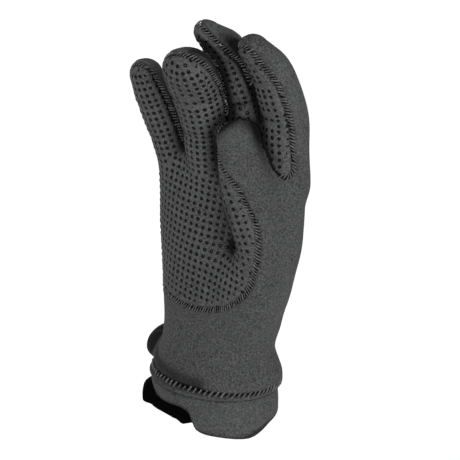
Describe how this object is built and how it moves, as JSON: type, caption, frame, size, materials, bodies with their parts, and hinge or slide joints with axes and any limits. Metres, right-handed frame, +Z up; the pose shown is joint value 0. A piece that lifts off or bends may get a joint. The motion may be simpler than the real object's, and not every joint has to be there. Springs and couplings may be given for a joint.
{
  "type": "neoprene glove",
  "caption": "Right-hand neoprene glove held upright, dark grey smooth back and gauntlet, dotted grip palm, stitched cuff band with a black inner sleeve.",
  "frame": {"origin": "middle of the cuff's opening, where the wrist goes in, 1 mm below the lowest turn of the hem", "axes": "+Z up from the cuff to the fingertips, -Y to the palm side, +X to the thumb"},
  "size_m": [0.1186, 0.0838, 0.2616],
  "materials": {
    "smooth_neoprene": "fine knitted face, matte",
    "grip_neoprene": "knitted face with raised glossy black dots",
    "black_lining": "plain black jersey, matte"
  },
  "bodies": {
    "root": {"back_panel": "smooth_neoprene", "palm_panel": "grip_neoprene", "cuff_band": "smooth_neoprene", "cuff_lining": "black_lining"}
  },
  "joints": []
}
